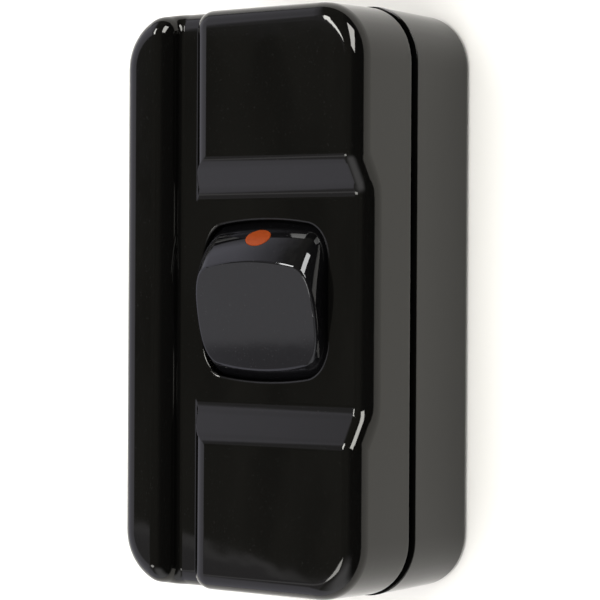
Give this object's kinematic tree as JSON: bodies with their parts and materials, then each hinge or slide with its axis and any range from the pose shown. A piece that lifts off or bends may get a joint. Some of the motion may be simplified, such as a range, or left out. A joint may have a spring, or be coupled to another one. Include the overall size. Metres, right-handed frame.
{
  "type": "inline cord switch",
  "caption": "Black inline switch for a power cord: two-part moulded case with raised pads, a rocker marked by an orange dot, and a cord entry at each end.",
  "frame": {"origin": "centre of the flat back face, on which it lies", "axes": "+X across the case towards the rocker's side, +Y along the case towards the end that stands out when on, +Z out of the front face"},
  "size_m": [0.0392, 0.0764, 0.026],
  "materials": {
    "case_plastic": "semi-gloss moulded",
    "rocker_plastic": "semi-gloss moulded",
    "dot_plastic": "gloss",
    "frame_plastic": "natural moulded",
    "clamp_plastic": "matt moulded",
    "brass": "plain",
    "silver": "plain silver alloy",
    "plated_steel": "zinc plated"
  },
  "bodies": {
    "housing": {"front_cover": "case_plastic", "rear_base": "case_plastic", "case_screws": "plated_steel", "case_inserts": "brass", "switch_frame": "frame_plastic", "fixed_contact_strip": "brass", "fixed_contact_tip": "silver", "fulcrum_strip": "brass", "line_terminal_block": "brass", "load_terminal_block": "brass", "active_terminal_screws": "plated_steel", "neutral_terminal": "brass", "neutral_terminal_screws": "plated_steel", "earth_terminal": "brass", "earth_terminal_screws": "plated_steel", "upper_cord_clamp": "clamp_plastic", "lower_cord_clamp": "clamp_plastic", "cord_clamp_screws": "plated_steel"},
    "rocker": {"rocker": "rocker_plastic", "on_dot": "dot_plastic", "plunger_spring": "plated_steel"},
    "plunger": {"plunger": "frame_plastic"},
    "contact": {"contact_seesaw": "brass", "moving_contact_tip": "silver"}
  },
  "joints": [
    {"name": "rocker_tilt", "type": "hinge", "parent": "housing", "child": "rocker", "pos_m": [0.0027, 0, 0.0151], "axis": [1, 0, 0], "range_deg": [-23, 0]},
    {"name": "contact_tilt", "type": "hinge", "parent": "housing", "child": "contact", "pos_m": [0.0027, 0, 0.00645], "axis": [1, 0, 0], "range_deg": [0, 18]},
    {"name": "plunger_slide", "type": "slide", "parent": "rocker", "child": "plunger", "axis": [0, -0.1994, 0.9799], "range_m": [0, 0.0008], "stiffness_N_per_m": 250, "springref_m": -0.004, "deforming": ["plunger_spring"]}
  ],
  "couplings": [
    {"joint": "contact_tilt", "follows": "rocker_tilt", "ratio": -0.78261}
  ]
}
